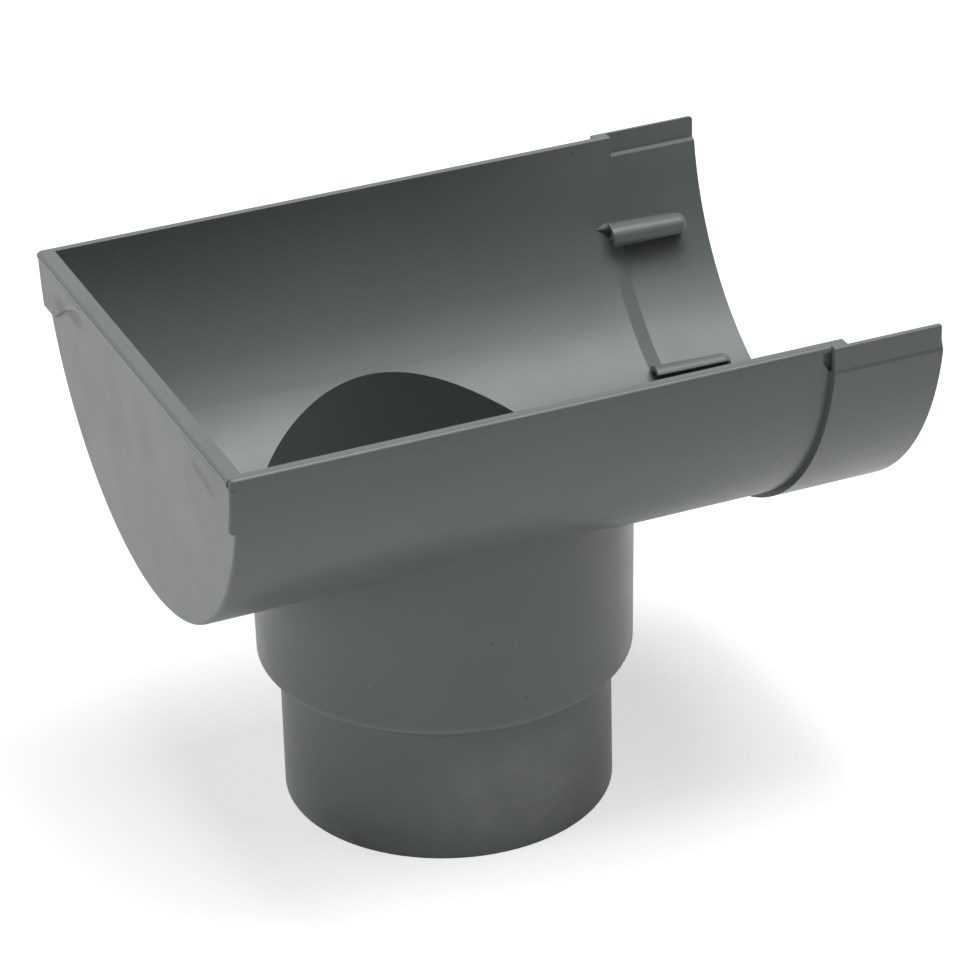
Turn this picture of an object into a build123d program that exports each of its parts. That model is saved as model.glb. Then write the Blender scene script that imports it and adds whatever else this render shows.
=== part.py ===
"""Stop end outlet for a half-round rainwater gutter, moulded in one piece.

A short trough is closed by an end plate on one side and widens into a gutter
socket on the other. Its floor opens into a round spout, which narrows at a
shoulder to the spigot that goes into the downpipe.

The origin is the centre of the spigot's lower end. +X points out of the
gutter socket, +Z is up, and the part is symmetric about the XZ plane.
"""

import math
import os

from build123d import *

# Trough, outside: its round wall hangs between two rims at one height, and a narrow slope leads from
# the wall in to each rim's upright edge, which is set in from the wall at the slope's foot
rim_z = 129.75
rim_half_width = 64.9
trough_depth = 61.9
rim_inset = 0.16
rim_edge_height = 1.3
rim_slope = 1.4
rim_rounding = 1.1

# Trough, wall: thinnest at the floor, and thicker towards the rims
floor_wall = 2.05
rim_wall = 3.0

# End plate: it leans in towards the bottom, as the mould's draft asks
end_x = -74.15
end_lean = 1.25
end_wall = 2.5
end_rounding = 0.9

# Bead along the top of the end plate
bead_proud = 1.6
bead_height = 2.2
bead_rounding = 1.0

# Pads that stand proud in the end plate's two upper corners
pad_proud = 1.2
pad_depth = 14.25
pad_inner_depth = 2.2
pad_half_gap = 28.0
pad_corner_half_gap = 56.0
pad_sag = 1.8
pad_rounding = 1.0

# Gutter socket: one step wider and deeper than the trough, outside and inside
step_x = 70.5
socket_length = 27.8
socket_widening = 1.9
socket_drop = 1.2
socket_floor_wall = 2.05
socket_side_wall = 2.6

# Inside, the trough opens into the socket over a short cone. The cone's mouth follows the trough's
# wall up to mouth_angle each side of the floor, and goes straight up from there
cone_start = 0.2
cone_length = 4.3
mouth_angle = 64.0

# Bands along the socket's two top edges: upright and thinner, and set in on the outside from the
# wall at the foot of the narrow slope that joins them to it
band_height = 5.7
band_slope = 0.8
band_inset = 0.26
band_wall = 1.1
band_rounding = 0.5
band_end_rounding = 0.8

# Ledge inside, where the band's thinner wall meets the socket's wall
ledge_depth = 5.5
ledge_fall = 0.5
ledge_start = 3.8

# Relief in each rim, just before the step
relief_top = 1.25
relief_length = 2.4
relief_deep_height = 2.5
relief_height = 5.0
relief_tail = 0.6
relief_depth = 1.4

# Retaining lips inside the socket, two on each side. Each stands up off the wall and bends over
# and down. It is open below and at the trough's end, narrows towards the other, and is closed there
lip_angles = (31.1, 67.2)
lip_radii = (2.8, 3.5)
lip_bends = (115.0, 135.0)
lip_start = 0.2
lip_length = 20.6
lip_wall = 1.2
lip_rise = 2.45
lip_taper = 0.5
lip_rounding = 1.7

# Pointed tail that runs the upper lip out onto the trough's wall
tail_length = 2.8
tail_radius = 1.3

# Spigot and spout
spigot_radius = 40.2
spigot_length = 38.2
spigot_wall = 2.2
spout_radius = 45.55
spout_draft = 0.9
spout_wall = 2.05
spout_rise = 21.5
shoulder_drop = 4.1
shoulder_floor = 2.1
shoulder_rounding = 0.8

# How far one solid is sunk into another that it joins, and how far a cut runs past a face
weld = 1.0
overrun = 5.0

trough_floor_z = rim_z - trough_depth
inner_half_width = rim_half_width - rim_wall
inner_floor_z = trough_floor_z + floor_wall
open_end_x = step_x + socket_length
socket_half_width = rim_half_width + socket_widening
socket_floor_z = trough_floor_z - socket_drop
ledge_z = rim_z - ledge_depth

# Direction along the trough, towards the socket, and the angle that points down in a section across
along = (1, 0, 0)
straight_down = -90.0


def arc_radius(half_width, depth):
    """Radius of the arc that hangs depth below two points, half_width each side of the middle."""
    return (half_width**2 + depth**2) / (2 * depth)


def half_width_at(z, half_width, floor_z):
    """Half the width, at height z, of the arc from the rims down to floor_z."""
    radius = arc_radius(half_width, rim_z - floor_z)
    return math.sqrt(radius**2 - (floor_z + radius - z) ** 2)


# Half the width over the rims' upright edges, and over the bands
rim_slope_foot = rim_z - rim_edge_height - rim_slope
rim_edge_half_width = half_width_at(rim_slope_foot, rim_half_width, trough_floor_z) - rim_inset
band_slope_foot = rim_z - band_height - band_slope
band_half_width = half_width_at(band_slope_foot, socket_half_width, socket_floor_z) - band_inset


def end_plane(x):
    """Leaning plane through x at the rim, facing into the trough."""
    lean = math.radians(end_lean)
    return Plane(origin=(x, 0, rim_z), x_dir=(0, 1, 0), z_dir=(math.cos(lean), 0, math.sin(lean)))


def inner_section(x, half_width, floor_z, top_z=rim_z):
    """Sketch across the trough at x: an arc down to floor_z, closed by a straight line at top_z."""
    with BuildSketch(Plane.YZ.offset(x)) as across:
        with BuildLine():
            ThreePointArc((-half_width, top_z), (0, floor_z), (half_width, top_z))
            Line((half_width, top_z), (-half_width, top_z))
        make_face()
    return across.sketch


def outer_section(x, half_width, floor_z, edge_half_width, edge_height, slope, rounding):
    """Sketch across the trough at x, from outside: the wall's arc hangs from half_width at the rims,
    but stops short of them at a slope that leads in to an upright edge with a rounded top."""
    edge_z = rim_z - edge_height
    wall_z = edge_z - slope
    wall_half_width = half_width_at(wall_z, half_width, floor_z)
    with BuildSketch(Plane.YZ.offset(x)) as across:
        with BuildLine():
            wall = ThreePointArc((-wall_half_width, wall_z), (0, floor_z), (wall_half_width, wall_z))
            Polyline(
                wall @ 1,
                (edge_half_width, edge_z),
                (edge_half_width, rim_z),
                (-edge_half_width, rim_z),
                (-edge_half_width, edge_z),
                wall @ 0,
            )
        make_face()
        fillet(across.vertices().group_by(Axis.Y)[-1], rounding)
    return across.sketch


# Space inside the trough, from the end plate's inner face to the far end of the cone
inner_start = end_x + end_wall
cone_x = step_x + cone_start
socket_space_x = cone_x + cone_length
trough_mouth = inner_section(inner_start, inner_half_width, inner_floor_z)
with BuildPart() as trough_space:
    extrude(trough_mouth, amount=socket_space_x - inner_start, dir=along)
    split(bisect_by=end_plane(inner_start), keep=Keep.TOP)

# Space inside the socket below its ledges
socket_outer_at_ledge = half_width_at(ledge_z, socket_half_width, socket_floor_z)
socket_inner_at_ledge = socket_outer_at_ledge - socket_side_wall
socket_inner_floor_z = socket_floor_z + socket_floor_wall
socket_inner_radius = arc_radius(socket_inner_at_ledge, ledge_z - socket_inner_floor_z)
socket_mouth = inner_section(socket_space_x, socket_inner_at_ledge, socket_inner_floor_z, ledge_z)
with BuildPart() as socket_space:
    extrude(socket_mouth, amount=open_end_x + overrun - socket_space_x, dir=along)

# Space in the cone: its mouth has straight sides, and its far end is the socket's section
trough_inner_radius = arc_radius(inner_half_width, rim_z - inner_floor_z)
side_angle = math.degrees(math.asin(socket_inner_at_ledge / socket_inner_radius)) - mouth_angle
with BuildPart() as cone_space:
    with BuildSketch(Plane.YZ.offset(cone_x)):
        with BuildLine():
            centre = (0, inner_floor_z + trough_inner_radius)
            floor = CenterArc(centre, trough_inner_radius, straight_down - mouth_angle, 2 * mouth_angle)
            right = Line(floor @ 1, ((floor @ 1).X, ledge_z))
            left = Line(floor @ 0, ((floor @ 0).X, ledge_z))
            Line(right @ 1, left @ 1)
        make_face()
    with BuildSketch(Plane.YZ.offset(socket_space_x)):
        with BuildLine():
            centre = (0, socket_inner_floor_z + socket_inner_radius)
            floor = CenterArc(centre, socket_inner_radius, straight_down - mouth_angle, 2 * mouth_angle)
            right = CenterArc(centre, socket_inner_radius, straight_down + mouth_angle, side_angle)
            left = CenterArc(centre, socket_inner_radius, straight_down - mouth_angle, -side_angle)
            Line(right @ 1, left @ 1)
        make_face()
    loft(ruled=True)

# Space between the bands, above the sloping ledges
band_inner_half_width = band_half_width - band_wall
ledge_x = step_x + ledge_start
with BuildPart() as band_space:
    with BuildSketch(Plane.YZ.offset(ledge_x)):
        with BuildLine():
            Polyline(
                (band_inner_half_width, rim_z + overrun),
                (band_inner_half_width, ledge_z),
                (socket_inner_at_ledge, ledge_z - ledge_fall),
                (-socket_inner_at_ledge, ledge_z - ledge_fall),
                (-band_inner_half_width, ledge_z),
                (-band_inner_half_width, rim_z + overrun),
                close=True,
            )
        make_face()
    extrude(amount=open_end_x + overrun - ledge_x)


def spout_radius_at(z, radius):
    """Radius at height z of a wall that is radius at the shoulder and widens with the draft."""
    return radius + (z - spigot_length) * math.tan(math.radians(spout_draft))


# Water way through the spigot and the spout, up into the trough
spout_top_z = inner_floor_z + spout_rise
spigot_bore_radius = spigot_radius - spigot_wall
spout_bore_radius = spout_radius - spout_wall
bore_shoulder_z = spigot_length + shoulder_floor
with BuildPart() as water_way:
    with BuildSketch(Plane.XZ):
        with BuildLine():
            Polyline(
                (0, -overrun),
                (spigot_bore_radius, -overrun),
                (spigot_bore_radius, bore_shoulder_z - shoulder_drop),
                (spout_radius_at(bore_shoulder_z, spout_bore_radius), bore_shoulder_z),
                (spout_radius_at(spout_top_z, spout_bore_radius), spout_top_z),
                (0, spout_top_z),
                close=True,
            )
        make_face()
    revolve(axis=Axis.Z)

# What is cut off the trough's end to leave the plate's field, between and below its two pads
field_half_width = rim_half_width + overrun
pad_face_x = end_x - pad_proud
with BuildPart() as end_cut:
    with BuildSketch(Plane.YZ.offset(pad_face_x - overrun)):
        with BuildLine():
            rise = SagittaArc(
                (pad_corner_half_gap, rim_z - pad_depth),
                (pad_half_gap, rim_z - pad_inner_depth),
                -pad_sag,
            )
            Polyline(
                rise @ 1,
                (pad_half_gap, rim_z + overrun),
                (0, rim_z + overrun),
                (0, trough_floor_z - overrun),
                (field_half_width, trough_floor_z - overrun),
                (field_half_width, rim_z - pad_depth),
                rise @ 0,
            )
        make_face()
        mirror(about=Plane.YZ)
    extrude(amount=pad_proud + 2 * overrun)
    split(bisect_by=end_plane(end_x), keep=Keep.BOTTOM)

# Bead along the top of the end plate
with BuildPart() as bead:
    with BuildSketch(Plane.XZ) as bead_profile:
        with Locations((end_x - bead_proud, rim_z)):
            Rectangle(bead_proud + weld, bead_height, align=(Align.MIN, Align.MAX))
        fillet(bead_profile.vertices().group_by(Axis.X)[0], bead_rounding)
    extrude(amount=rim_edge_half_width - rim_rounding, both=True)


def lip_outline(across, root, radius, bend_angle):
    """Sketch across a lip: a web up off the wall at root, bent over in an arc, and filled below."""
    with BuildSketch(across) as outline:
        with BuildLine():
            web = Line((root, -weld), (root, lip_rise))
            bend = CenterArc((root - radius, lip_rise), radius, 0, bend_angle)
            Polyline(bend @ 1, ((bend @ 1).X, -weld), web @ 0)
        make_face()
    return outline.sketch


def lip_hollow(across, root, radius, bend_angle):
    """Sketch across the space under a lip, one wall thickness inside its outline and open below."""
    with BuildSketch(across) as hollow:
        with BuildLine():
            web = Line((root - lip_wall, -overrun), (root - lip_wall, lip_rise))
            bend = CenterArc((root - radius, lip_rise), radius - lip_wall, 0, bend_angle)
            free_edge = PolarLine(bend @ 1, overrun, bend_angle)
            Polyline(free_edge @ 1, ((free_edge @ 1).X, -overrun), web @ 0)
        make_face()
    return hollow.sketch


def wall_point(x, angle, radius, floor_z):
    """Point at x on a round inner wall, at an angle from straight down."""
    turn = math.radians(angle)
    return Vector(x, radius * math.sin(turn), floor_z + radius * (1 - math.cos(turn)))


def retaining_lip(angle, radius, bend_angle):
    """Lip on the socket's inner wall, its root at an angle from straight down."""
    turn = math.radians(angle)
    root = wall_point(step_x + lip_start, angle, socket_inner_radius, socket_inner_floor_z)
    # Local x runs up the wall and local y in from it
    across = Plane(origin=root, x_dir=(0, math.cos(turn), math.sin(turn)), z_dir=(1, 0, 0))
    far_root = -lip_taper * (1 - math.cos(math.radians(bend_angle)))
    far_radius = radius - lip_taper
    far_end = across.offset(lip_length)
    hollow_end = across.offset(lip_length - lip_wall)
    with BuildPart() as lip:
        mouth_outline = lip_outline(across, 0, radius, bend_angle)
        loft([mouth_outline, lip_outline(far_end, far_root, far_radius, bend_angle)])
        end_edges = lip.faces().sort_by(Axis.X)[-1].edges()
        fillet(end_edges.sort_by(Axis(root, across.y_dir))[-1], lip_rounding)
        mouth_hollow = lip_hollow(across, 0, radius, bend_angle)
        loft([mouth_hollow, lip_hollow(hollow_end, far_root, far_radius, bend_angle)], mode=Mode.SUBTRACT)
    return lip.part


# Tail of the upper lip, a cone half sunk in the trough's wall
tail_point = wall_point(step_x + lip_start, lip_angles[1], trough_inner_radius, inner_floor_z)
with BuildPart() as tail:
    with Locations(Plane(origin=tail_point, z_dir=(-1, 0, 0))):
        Cone(tail_radius, 0, tail_length, align=(Align.CENTER, Align.CENTER, Align.MIN))

# Relief in one rim, just before the step: deep at its top, with a short tail below
with BuildPart() as relief:
    with BuildSketch(Plane.XZ.offset(-rim_half_width)):
        with BuildLine():
            Polyline(
                (step_x, rim_z - relief_top),
                (step_x - relief_length, rim_z - relief_top),
                (step_x - relief_length, rim_z - relief_top - relief_deep_height),
                (step_x - relief_tail, rim_z - relief_top - relief_height),
                (step_x, rim_z - relief_top - relief_height),
                close=True,
            )
        make_face()
    extrude(amount=relief_depth)


def both_sides(shape):
    """The shape, and its mirror image on the other side of the trough."""
    return [shape, mirror(shape, about=Plane.XZ)]


reliefs = both_sides(relief.part)
lips = both_sides(tail.part)
for angle, radius, bend_angle in zip(lip_angles, lip_radii, lip_bends):
    lips += both_sides(retaining_lip(angle, radius, bend_angle))

with BuildPart() as outlet:
    # Trough, as a solid block, with its leaning end, its pads and its bead
    trough_edge = (rim_edge_half_width, rim_edge_height, rim_slope, rim_rounding)
    block = outer_section(pad_face_x, rim_half_width, trough_floor_z, *trough_edge)
    extrude(block, amount=step_x - pad_face_x, dir=along)
    add(end_cut.part, mode=Mode.SUBTRACT)
    pad_edges = outlet.faces().filter_by(Plane.YZ).group_by(Axis.X)[0].edges()
    fillet(pad_edges, pad_rounding)
    plate_field = outlet.faces().filter_by(end_plane(end_x))[0]
    fillet(plate_field.edges().sort_by(SortBy.LENGTH)[-1], end_rounding)
    add(bead.part)

    # Spout and spigot, as one turned block that reaches up into the trough
    with BuildSketch(Plane.XZ) as spout_profile:
        with BuildLine():
            Polyline(
                (0, 0),
                (spigot_radius, 0),
                (spigot_radius, spigot_length - shoulder_drop),
                (spout_radius, spigot_length),
                (spout_radius_at(spout_top_z, spout_radius), spout_top_z),
                (0, spout_top_z),
                close=True,
            )
        make_face()
        shoulder = spout_profile.vertices().sort_by_distance((spout_radius, spigot_length))[0]
        fillet(shoulder, shoulder_rounding)
    revolve(axis=Axis.Z)

    # Socket, with the bands along its top edges
    band_edge = (band_half_width, band_height, band_slope, band_rounding)
    socket_block = outer_section(step_x, socket_half_width, socket_floor_z, *band_edge)
    extrude(socket_block, amount=socket_length, dir=along)

    # Hollow it out
    add(trough_space.part, mode=Mode.SUBTRACT)
    add(cone_space.part, mode=Mode.SUBTRACT)
    add(socket_space.part, mode=Mode.SUBTRACT)
    add(band_space.part, mode=Mode.SUBTRACT)
    add(water_way.part, mode=Mode.SUBTRACT)
    add(reliefs, mode=Mode.SUBTRACT)

    # Round the bands' upright outer corners at the open end
    open_face = outlet.faces().filter_by(Plane.YZ).sort_by(Axis.X)[-1]
    uprights = open_face.edges().filter_by(Axis.Z).group_by(Axis.Y)
    fillet(uprights[0] + uprights[-1], band_end_rounding)

    # Retaining lips, the same on both sides
    add(lips)

outlet.part.label = "gutter_end_outlet"
os.makedirs("parts", exist_ok=True)
export_step(outlet.part, "parts/gutter_end_outlet.step")
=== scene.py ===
"""Looks of the gutter stop end outlet: satin grey plastic on a white studio floor."""

import math

import bpy
from mathutils import Matrix, Vector

NODE = "gutter_end_outlet"

# Camera, as the photograph was taken: angles in degrees, distances in metres, lens and sensor in millimetres
CAMERA_AZIMUTH = -22.947
CAMERA_ELEVATION = 28.566
CAMERA_ROLL = 1.521
CAMERA_DISTANCE = 1.0735
CAMERA_TARGET = Vector((0.01166, 0.0, 0.07652))
CAMERA_LENS = 166.63
CAMERA_SENSOR = 36.0

# Linear colours of the plastic: its two cloudy greys, then pale for rubbed wear, pale specks and painted
# light, and dark for dark specks and painted shade
PLASTIC_DARK = (0.141, 0.166, 0.160)
PLASTIC_LIGHT = (0.154, 0.180, 0.174)
RUBBED_AND_PAINTED_LIGHT = (0.255, 0.280, 0.272)
DIRT_AND_PAINTED_SHADE = (0.045, 0.052, 0.050)

# Sheen: the range of the roughness, how strongly the plastic mirrors where it is clean and where shade is
# painted on it, and the refractive index
SMOOTHEST = 0.285
ROUGHEST = 0.35
SHINE = 0.50
PAINTED_SHADE_SHINE = 0.0
REFRACTION = 1.5

# Noise patterns: how many cells each has in a metre, and how many layers of finer detail
CLOUD_SCALE = 28.0
CLOUD_DETAIL = 3.0
SHEEN_SCALE = 90.0
SHEEN_DETAIL = 4.0
PATCH_SCALE = 130.0
PATCH_DETAIL = 4.0
WAVE_SCALE = 40.0
WAVE_DETAIL = 1.0
GRAIN_SCALE = 1800.0
GRAIN_DETAIL = 2.0

# A noise pattern keeps mostly within this range
NOISE_RANGE = (0.3, 0.7)

# Relief of the surface: the strength and the height, in metres, of its slow wave and of its fine grain
WAVE_STRENGTH = 0.03
WAVE_HEIGHT = 0.001
GRAIN_STRENGTH = 0.05
GRAIN_HEIGHT = 0.0001

# What is left of a patch of wear, painted light or painted shade where its cloudy pattern is thinnest
PATCH_THINNEST = 0.4

# Scuffs and painted light on the spigot: middle and half-sizes in metres, as for each patch below
SCUFF_AND_LIGHT_MIDDLE = (0.002, -0.041, 0.015)
SCUFF_AND_LIGHT_REACH = (0.034, 0.026, 0.026)
SCUFF_AND_LIGHT_STRENGTH = 1.00

# Painted shade along each pad's edge on the end plate, placed without signs so that both pads get one
PAD_SHADE_MIDDLE = (0.0747, 0.0450, 0.1214)
PAD_SHADE_REACH = (0.0025, 0.0120, 0.0040)
PAD_SHADE_STRENGTH = 1.15

# Painted shade along the lower edge of the spigot, on the side of the end plate
FOOT_MIDDLE = (-0.0330, -0.0230, 0.0010)
FOOT_REACH = (0.0260, 0.0220, 0.0120)
FOOT_STRENGTH = 0.50

# Painted shade in the corner below the end plate's bead
GROOVE_MIDDLE = (-0.0750, 0.0, 0.1275)
GROOVE_REACH = (0.0030, 0.1000, 0.0009)
GROOVE_STRENGTH = 1.00

# Specks: how closely they lie, their radius as a share of the gap between them, and their strength
SPECK_SCALE = 130.0
SPECK_RADIUS = 0.04
SPECK_STRENGTH = 0.6

# Painted highlight in a ring round the shoulder's edge: its height and half its width, in metres
RING_HEIGHT = 0.0380
RING_REACH = 0.0016
RING_STRENGTH = 0.45

# Floor: its width in metres, its grey level, and the glow that the camera and the plastic's mirroring see
FLOOR_SIZE = 6.0
FLOOR_COLOUR = 0.80
FLOOR_LIFT = 0.60
FLOOR_MIRRORED = 0.32

# Studio round the part. The camera sees it white. In the plastic's reflections it is white towards the
# backdrop and dim on the side of the camera. It is fully white where the cosine of the angle to the
# backdrop's direction is at least BACKDROP_FULL
WHITE = (1, 1, 1, 1)
STUDIO_SEEN = 1.0
BACKDROP_SIDE = (0.39, 0.92, 0.0)
BACKDROP_FULL = 0.5
BACKDROP_MIRRORED = 1.0
FRONT_MIRRORED = 0.12

# Distance of the soft boxes from the part's origin, in metres
BOX_DISTANCE = 2.0


def feed(tree, socket, value):
    """Links another node's output to the socket, or sets the socket to a plain value."""
    if isinstance(value, bpy.types.NodeSocket):
        tree.links.new(value, socket)
    else:
        socket.default_value = value


def calculate(tree, operation, *values):
    """The result of a math operation on numbers or outputs."""
    node = tree.nodes.new("ShaderNodeMath")
    node.operation = operation
    for socket, value in zip(node.inputs, values):
        feed(tree, socket, value)
    return node.outputs["Value"]


def calculate_vector(tree, operation, result, *vectors):
    """The named result of a vector operation on vectors or outputs."""
    node = tree.nodes.new("ShaderNodeVectorMath")
    node.operation = operation
    for socket, vector in zip(node.inputs, vectors):
        feed(tree, socket, vector)
    return node.outputs[result]


def spread(tree, value, source, target, interpolation="LINEAR"):
    """The value, spread from the source range to the target range and kept inside it."""
    node = tree.nodes.new("ShaderNodeMapRange")
    node.interpolation_type = interpolation
    tree.links.new(value, node.inputs["Value"])
    node.inputs["From Min"].default_value, node.inputs["From Max"].default_value = source
    node.inputs["To Min"].default_value, node.inputs["To Max"].default_value = target
    return node.outputs["Result"]


def noise(tree, place, scale, detail):
    """A noise pattern over the given coordinates."""
    texture = tree.nodes.new("ShaderNodeTexNoise")
    texture.inputs["Scale"].default_value = scale
    texture.inputs["Detail"].default_value = detail
    tree.links.new(place, texture.inputs["Vector"])
    return texture.outputs["Fac"]


def relief(tree, pattern, strength, height):
    """A bump node that raises the surface by the pattern, up to the height."""
    node = tree.nodes.new("ShaderNodeBump")
    node.inputs["Strength"].default_value = strength
    node.inputs["Distance"].default_value = height
    tree.links.new(pattern, node.inputs["Height"])
    return node


def blend(tree, amount, first, second):
    """The first colour, blended towards the second by the amount."""
    node = tree.nodes.new("ShaderNodeMix")
    node.data_type = "RGBA"
    tree.links.new(amount, node.inputs["Factor"])
    for name, colour in (("A", first), ("B", second)):
        if isinstance(colour, tuple):
            colour = (*colour, 1)
        feed(tree, node.inputs[name], colour)
    return node.outputs["Result"]


def patch_mask(tree, place, middle, reach, strength):
    """A cloudy patch round the middle, strongest there and gone at the reach."""
    away = calculate_vector(tree, "SUBTRACT", "Vector", place, middle)
    share = calculate_vector(tree, "DIVIDE", "Vector", away, reach)
    distance = calculate_vector(tree, "LENGTH", "Value", share)
    patch = spread(tree, distance, (0.0, 1.0), (strength, 0.0), "SMOOTHSTEP")
    cloud = spread(tree, noise(tree, place, PATCH_SCALE, PATCH_DETAIL), NOISE_RANGE, (PATCH_THINNEST, 1.0))
    return calculate(tree, "MULTIPLY", patch, cloud)


def painted_shade_mask(tree, place):
    """Where shade is painted: under the bead, along the edges of both pads and at the spigot's foot."""
    groove = patch_mask(tree, place, GROOVE_MIDDLE, GROOVE_REACH, GROOVE_STRENGTH)
    foot = patch_mask(tree, place, FOOT_MIDDLE, FOOT_REACH, FOOT_STRENGTH)
    mirrored = calculate_vector(tree, "ABSOLUTE", "Vector", place)
    pad_shades = patch_mask(tree, mirrored, PAD_SHADE_MIDDLE, PAD_SHADE_REACH, PAD_SHADE_STRENGTH)
    return calculate(tree, "MAXIMUM", calculate(tree, "MAXIMUM", groove, foot), pad_shades)


def ring_mask(tree, place):
    """Painted highlight on the shoulder's lower edge: a narrow ring, strongest at its middle height."""
    axes = tree.nodes.new("ShaderNodeSeparateXYZ")
    tree.links.new(place, axes.inputs["Vector"])
    above = calculate(tree, "SUBTRACT", axes.outputs["Z"], RING_HEIGHT)
    away = calculate(tree, "ABSOLUTE", above)
    return spread(tree, away, (0.0, RING_REACH), (RING_STRENGTH, 0.0), "SMOOTHSTEP")


def speck_masks(tree, place):
    """Where tiny specks lie, and the tone of each: the middles of the cells of a random pattern."""
    cells = tree.nodes.new("ShaderNodeTexVoronoi")
    cells.inputs["Scale"].default_value = SPECK_SCALE
    tree.links.new(place, cells.inputs["Vector"])
    specks = spread(tree, cells.outputs["Distance"], (SPECK_RADIUS, SPECK_RADIUS * 2), (SPECK_STRENGTH, 0.0))
    return specks, cells.outputs["Color"]


def plastic_colour(tree, place, painted_shade):
    """Grey in soft clouds, scuffed and painted lighter on the spigot, with painted shade, a painted
    highlight and specks.
    """
    cloud = spread(tree, noise(tree, place, CLOUD_SCALE, CLOUD_DETAIL), NOISE_RANGE, (0.0, 1.0))
    colour = blend(tree, cloud, PLASTIC_DARK, PLASTIC_LIGHT)
    # Scuffs on the spigot, partly painted light that brightens its lower side
    scuffs_and_light = patch_mask(tree, place, SCUFF_AND_LIGHT_MIDDLE, SCUFF_AND_LIGHT_REACH, SCUFF_AND_LIGHT_STRENGTH)
    colour = blend(tree, scuffs_and_light, colour, RUBBED_AND_PAINTED_LIGHT)
    # Painted shade: darker under the bead, along the pads' edges and at the spigot's foot
    colour = blend(tree, painted_shade, colour, DIRT_AND_PAINTED_SHADE)
    # Painted highlight along the shoulder's lower edge
    colour = blend(tree, ring_mask(tree, place), colour, RUBBED_AND_PAINTED_LIGHT)
    specks, tone = speck_masks(tree, place)
    return blend(tree, specks, colour, blend(tree, tone, DIRT_AND_PAINTED_SHADE, RUBBED_AND_PAINTED_LIGHT))


def plastic_relief(tree, place):
    """The surface's normal: the slow wave of a moulded wall under a very fine grain."""
    wave = relief(tree, noise(tree, place, WAVE_SCALE, WAVE_DETAIL), WAVE_STRENGTH, WAVE_HEIGHT)
    grain = relief(tree, noise(tree, place, GRAIN_SCALE, GRAIN_DETAIL), GRAIN_STRENGTH, GRAIN_HEIGHT)
    tree.links.new(wave.outputs["Normal"], grain.inputs["Normal"])
    return grain.outputs["Normal"]


def new_material(name):
    """An empty node material, its node tree, and the socket that takes its surface."""
    material = bpy.data.materials.new(name)
    material.use_nodes = True
    tree = material.node_tree
    tree.nodes.clear()
    surface = tree.nodes.new("ShaderNodeOutputMaterial").inputs["Surface"]
    return material, tree, surface


def plastic_material():
    """Satin grey rigid plastic, the same on the whole part apart from its wear and its painted light and
    shade.
    """
    material, tree, surface = new_material("satin_grey_plastic")
    shader = tree.nodes.new("ShaderNodeBsdfPrincipled")
    place = tree.nodes.new("ShaderNodeTexCoord").outputs["Object"]
    painted_shade = painted_shade_mask(tree, place)
    sheen = noise(tree, place, SHEEN_SCALE, SHEEN_DETAIL)
    roughness = spread(tree, sheen, NOISE_RANGE, (SMOOTHEST, ROUGHEST))
    # The plastic mirrors less where shade is painted
    shine = spread(tree, painted_shade, (0.0, 1.0), (SHINE, PAINTED_SHADE_SHINE))
    shader.inputs["IOR"].default_value = REFRACTION
    tree.links.new(plastic_colour(tree, place, painted_shade), shader.inputs["Base Color"])
    tree.links.new(roughness, shader.inputs["Roughness"])
    tree.links.new(shine, shader.inputs["Specular IOR Level"])
    tree.links.new(plastic_relief(tree, place), shader.inputs["Normal"])
    tree.links.new(shader.outputs["BSDF"], surface)
    return material


def seen_strength(tree, to_camera, to_mirrors):
    """A strength that only the camera and reflections see, so that it lights nothing else."""
    ray = tree.nodes.new("ShaderNodeLightPath")
    direct = calculate(tree, "MULTIPLY", ray.outputs["Is Camera Ray"], to_camera)
    return calculate(tree, "MULTIPLY_ADD", ray.outputs["Is Glossy Ray"], to_mirrors, direct)


def floor_material():
    """White floor that the camera sees as plain white, apart from the part's soft shadow."""
    material, tree, surface = new_material("white_floor")
    diffuse = tree.nodes.new("ShaderNodeBsdfDiffuse")
    diffuse.inputs["Color"].default_value = (FLOOR_COLOUR, FLOOR_COLOUR, FLOOR_COLOUR, 1)
    lift = tree.nodes.new("ShaderNodeEmission")
    tree.links.new(seen_strength(tree, FLOOR_LIFT, FLOOR_MIRRORED), lift.inputs["Strength"])
    both = tree.nodes.new("ShaderNodeAddShader")
    tree.links.new(diffuse.outputs["BSDF"], both.inputs[0])
    tree.links.new(lift.outputs["Emission"], both.inputs[1])
    tree.links.new(both.outputs["Shader"], surface)
    return material


def make_floor():
    """The plain floor that the part stands on."""
    half = FLOOR_SIZE / 2
    corners = [(-half, -half, 0), (half, -half, 0), (half, half, 0), (-half, half, 0)]
    mesh = bpy.data.meshes.new("floor")
    mesh.from_pydata(corners, [], [(0, 1, 2, 3)])
    mesh.materials.append(floor_material())
    floor = bpy.data.objects.new("floor", mesh)
    bpy.context.scene.collection.objects.link(floor)


def make_world():
    """A studio that lights nothing: the camera sees it white, and the plastic mirrors its far side."""
    world = bpy.data.worlds.new("studio")
    bpy.context.scene.world = world
    world.use_nodes = True
    tree = world.node_tree
    direction = tree.nodes.new("ShaderNodeTexCoord").outputs["Generated"]
    side = calculate_vector(tree, "DOT_PRODUCT", "Value", direction, BACKDROP_SIDE)
    mirrored = spread(tree, side, (0.0, BACKDROP_FULL), (FRONT_MIRRORED, BACKDROP_MIRRORED))
    background = tree.nodes["Background"]
    background.inputs["Color"].default_value = WHITE
    tree.links.new(seen_strength(tree, STUDIO_SEEN, mirrored), background.inputs["Strength"])


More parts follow.
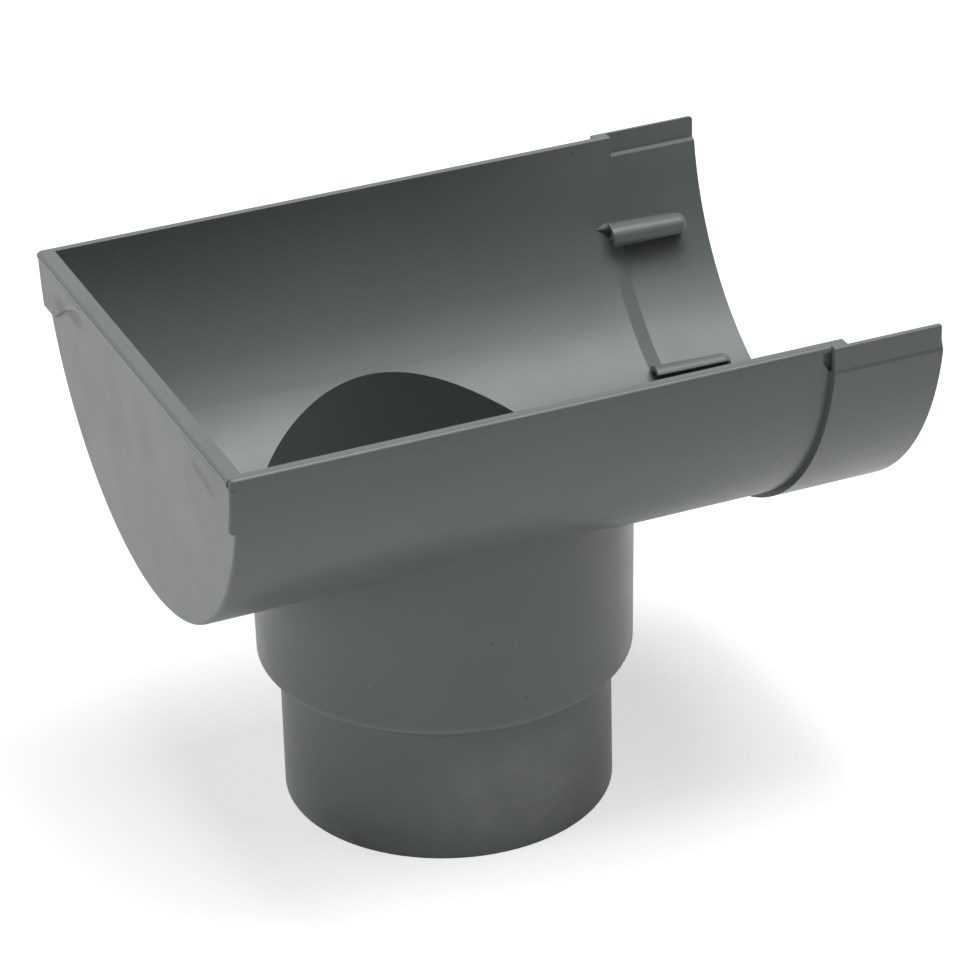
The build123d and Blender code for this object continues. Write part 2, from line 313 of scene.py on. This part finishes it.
def soft_box(name, azimuth, elevation, size, power):
    """A square area light in the given direction, in degrees, from the part's origin, aimed at the part.

    The azimuth is counted from +X towards +Y. The size is in metres and the power in watts.
    """
    data = bpy.data.lights.new(name, "AREA")
    data.size = size
    data.energy = power
    lamp = bpy.data.objects.new(name, data)
    turn = math.radians(azimuth)
    rise = math.radians(elevation)
    away = Vector((math.cos(turn) * math.cos(rise), math.sin(turn) * math.cos(rise), math.sin(rise)))
    lamp.location = away * BOX_DISTANCE
    lamp.rotation_euler = (CAMERA_TARGET - lamp.location).to_track_quat("-Z", "Y").to_euler()
    bpy.context.scene.collection.objects.link(lamp)


def make_camera():
    """The camera at the photograph's viewing angle."""
    azimuth = math.radians(CAMERA_AZIMUTH)
    elevation = math.radians(CAMERA_ELEVATION)
    roll = math.radians(CAMERA_ROLL)
    back = Vector((
        math.sin(azimuth) * math.cos(elevation),
        -math.cos(azimuth) * math.cos(elevation),
        math.sin(elevation),
    ))
    level = Vector((math.cos(azimuth), math.sin(azimuth), 0))
    up = back.cross(level)
    right = level * math.cos(roll) - up * math.sin(roll)
    top = level * math.sin(roll) + up * math.cos(roll)
    turn = Matrix((right, top, back)).transposed().to_4x4()
    data = bpy.data.cameras.new("camera")
    data.lens = CAMERA_LENS
    data.sensor_width = CAMERA_SENSOR
    camera = bpy.data.objects.new("camera", data)
    camera.matrix_world = Matrix.Translation(CAMERA_TARGET + back * CAMERA_DISTANCE) @ turn
    bpy.context.scene.collection.objects.link(camera)
    bpy.context.scene.camera = camera


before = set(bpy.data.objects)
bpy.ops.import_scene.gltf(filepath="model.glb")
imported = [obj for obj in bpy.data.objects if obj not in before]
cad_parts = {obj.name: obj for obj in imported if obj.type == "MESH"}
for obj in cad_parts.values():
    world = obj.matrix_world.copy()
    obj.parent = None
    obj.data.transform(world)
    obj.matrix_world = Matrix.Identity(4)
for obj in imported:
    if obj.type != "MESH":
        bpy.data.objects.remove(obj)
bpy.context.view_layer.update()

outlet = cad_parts[NODE]
outlet.data.materials.clear()
outlet.data.materials.append(plastic_material())

make_floor()
make_world()
soft_box("ceiling_light", azimuth=0, elevation=90, size=1.0, power=15.5)
soft_box("right_light", azimuth=340, elevation=70, size=0.9, power=12)
soft_box("front_light", azimuth=315, elevation=55, size=0.9, power=5.4)
soft_box("left_light", azimuth=180, elevation=12, size=0.9, power=8.8)
soft_box("upper_left_light", azimuth=165, elevation=52, size=0.9, power=5)
make_camera()
bpy.context.scene.view_settings.view_transform = "Standard"
